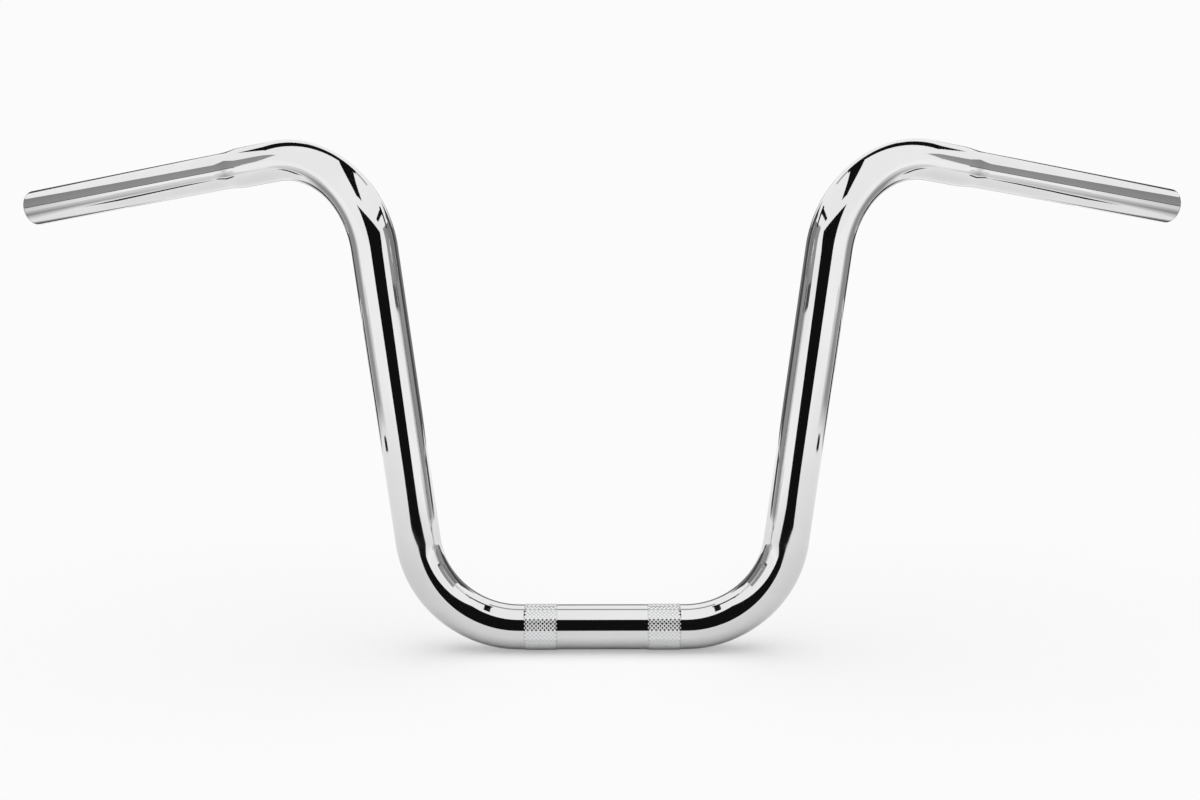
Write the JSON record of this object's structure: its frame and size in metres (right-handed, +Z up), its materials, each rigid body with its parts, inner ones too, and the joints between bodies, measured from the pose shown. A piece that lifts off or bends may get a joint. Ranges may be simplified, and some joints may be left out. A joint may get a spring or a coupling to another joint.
{
  "type": "motorcycle handlebar",
  "caption": "High-rise motorcycle handlebar: one chromed steel tube with upright sides, knurled clamp bands and swept-back grip ends of a smaller diameter.",
  "frame": {"origin": "on the tube's axis in the middle of the clamp section, halfway between the knurled bands", "axes": "+X along the clamp section to the rider's left, +Y back towards the rider, the way the grip ends sweep, +Z up in the plane of the uprights"},
  "size_m": [0.8662, 0.1507, 0.358],
  "materials": {
    "chrome_tube": "polished chrome plate, with diamond knurl on the clamp bands"
  },
  "bodies": {
    "root": {"handlebar": "chrome_tube"}
  },
  "joints": []
}
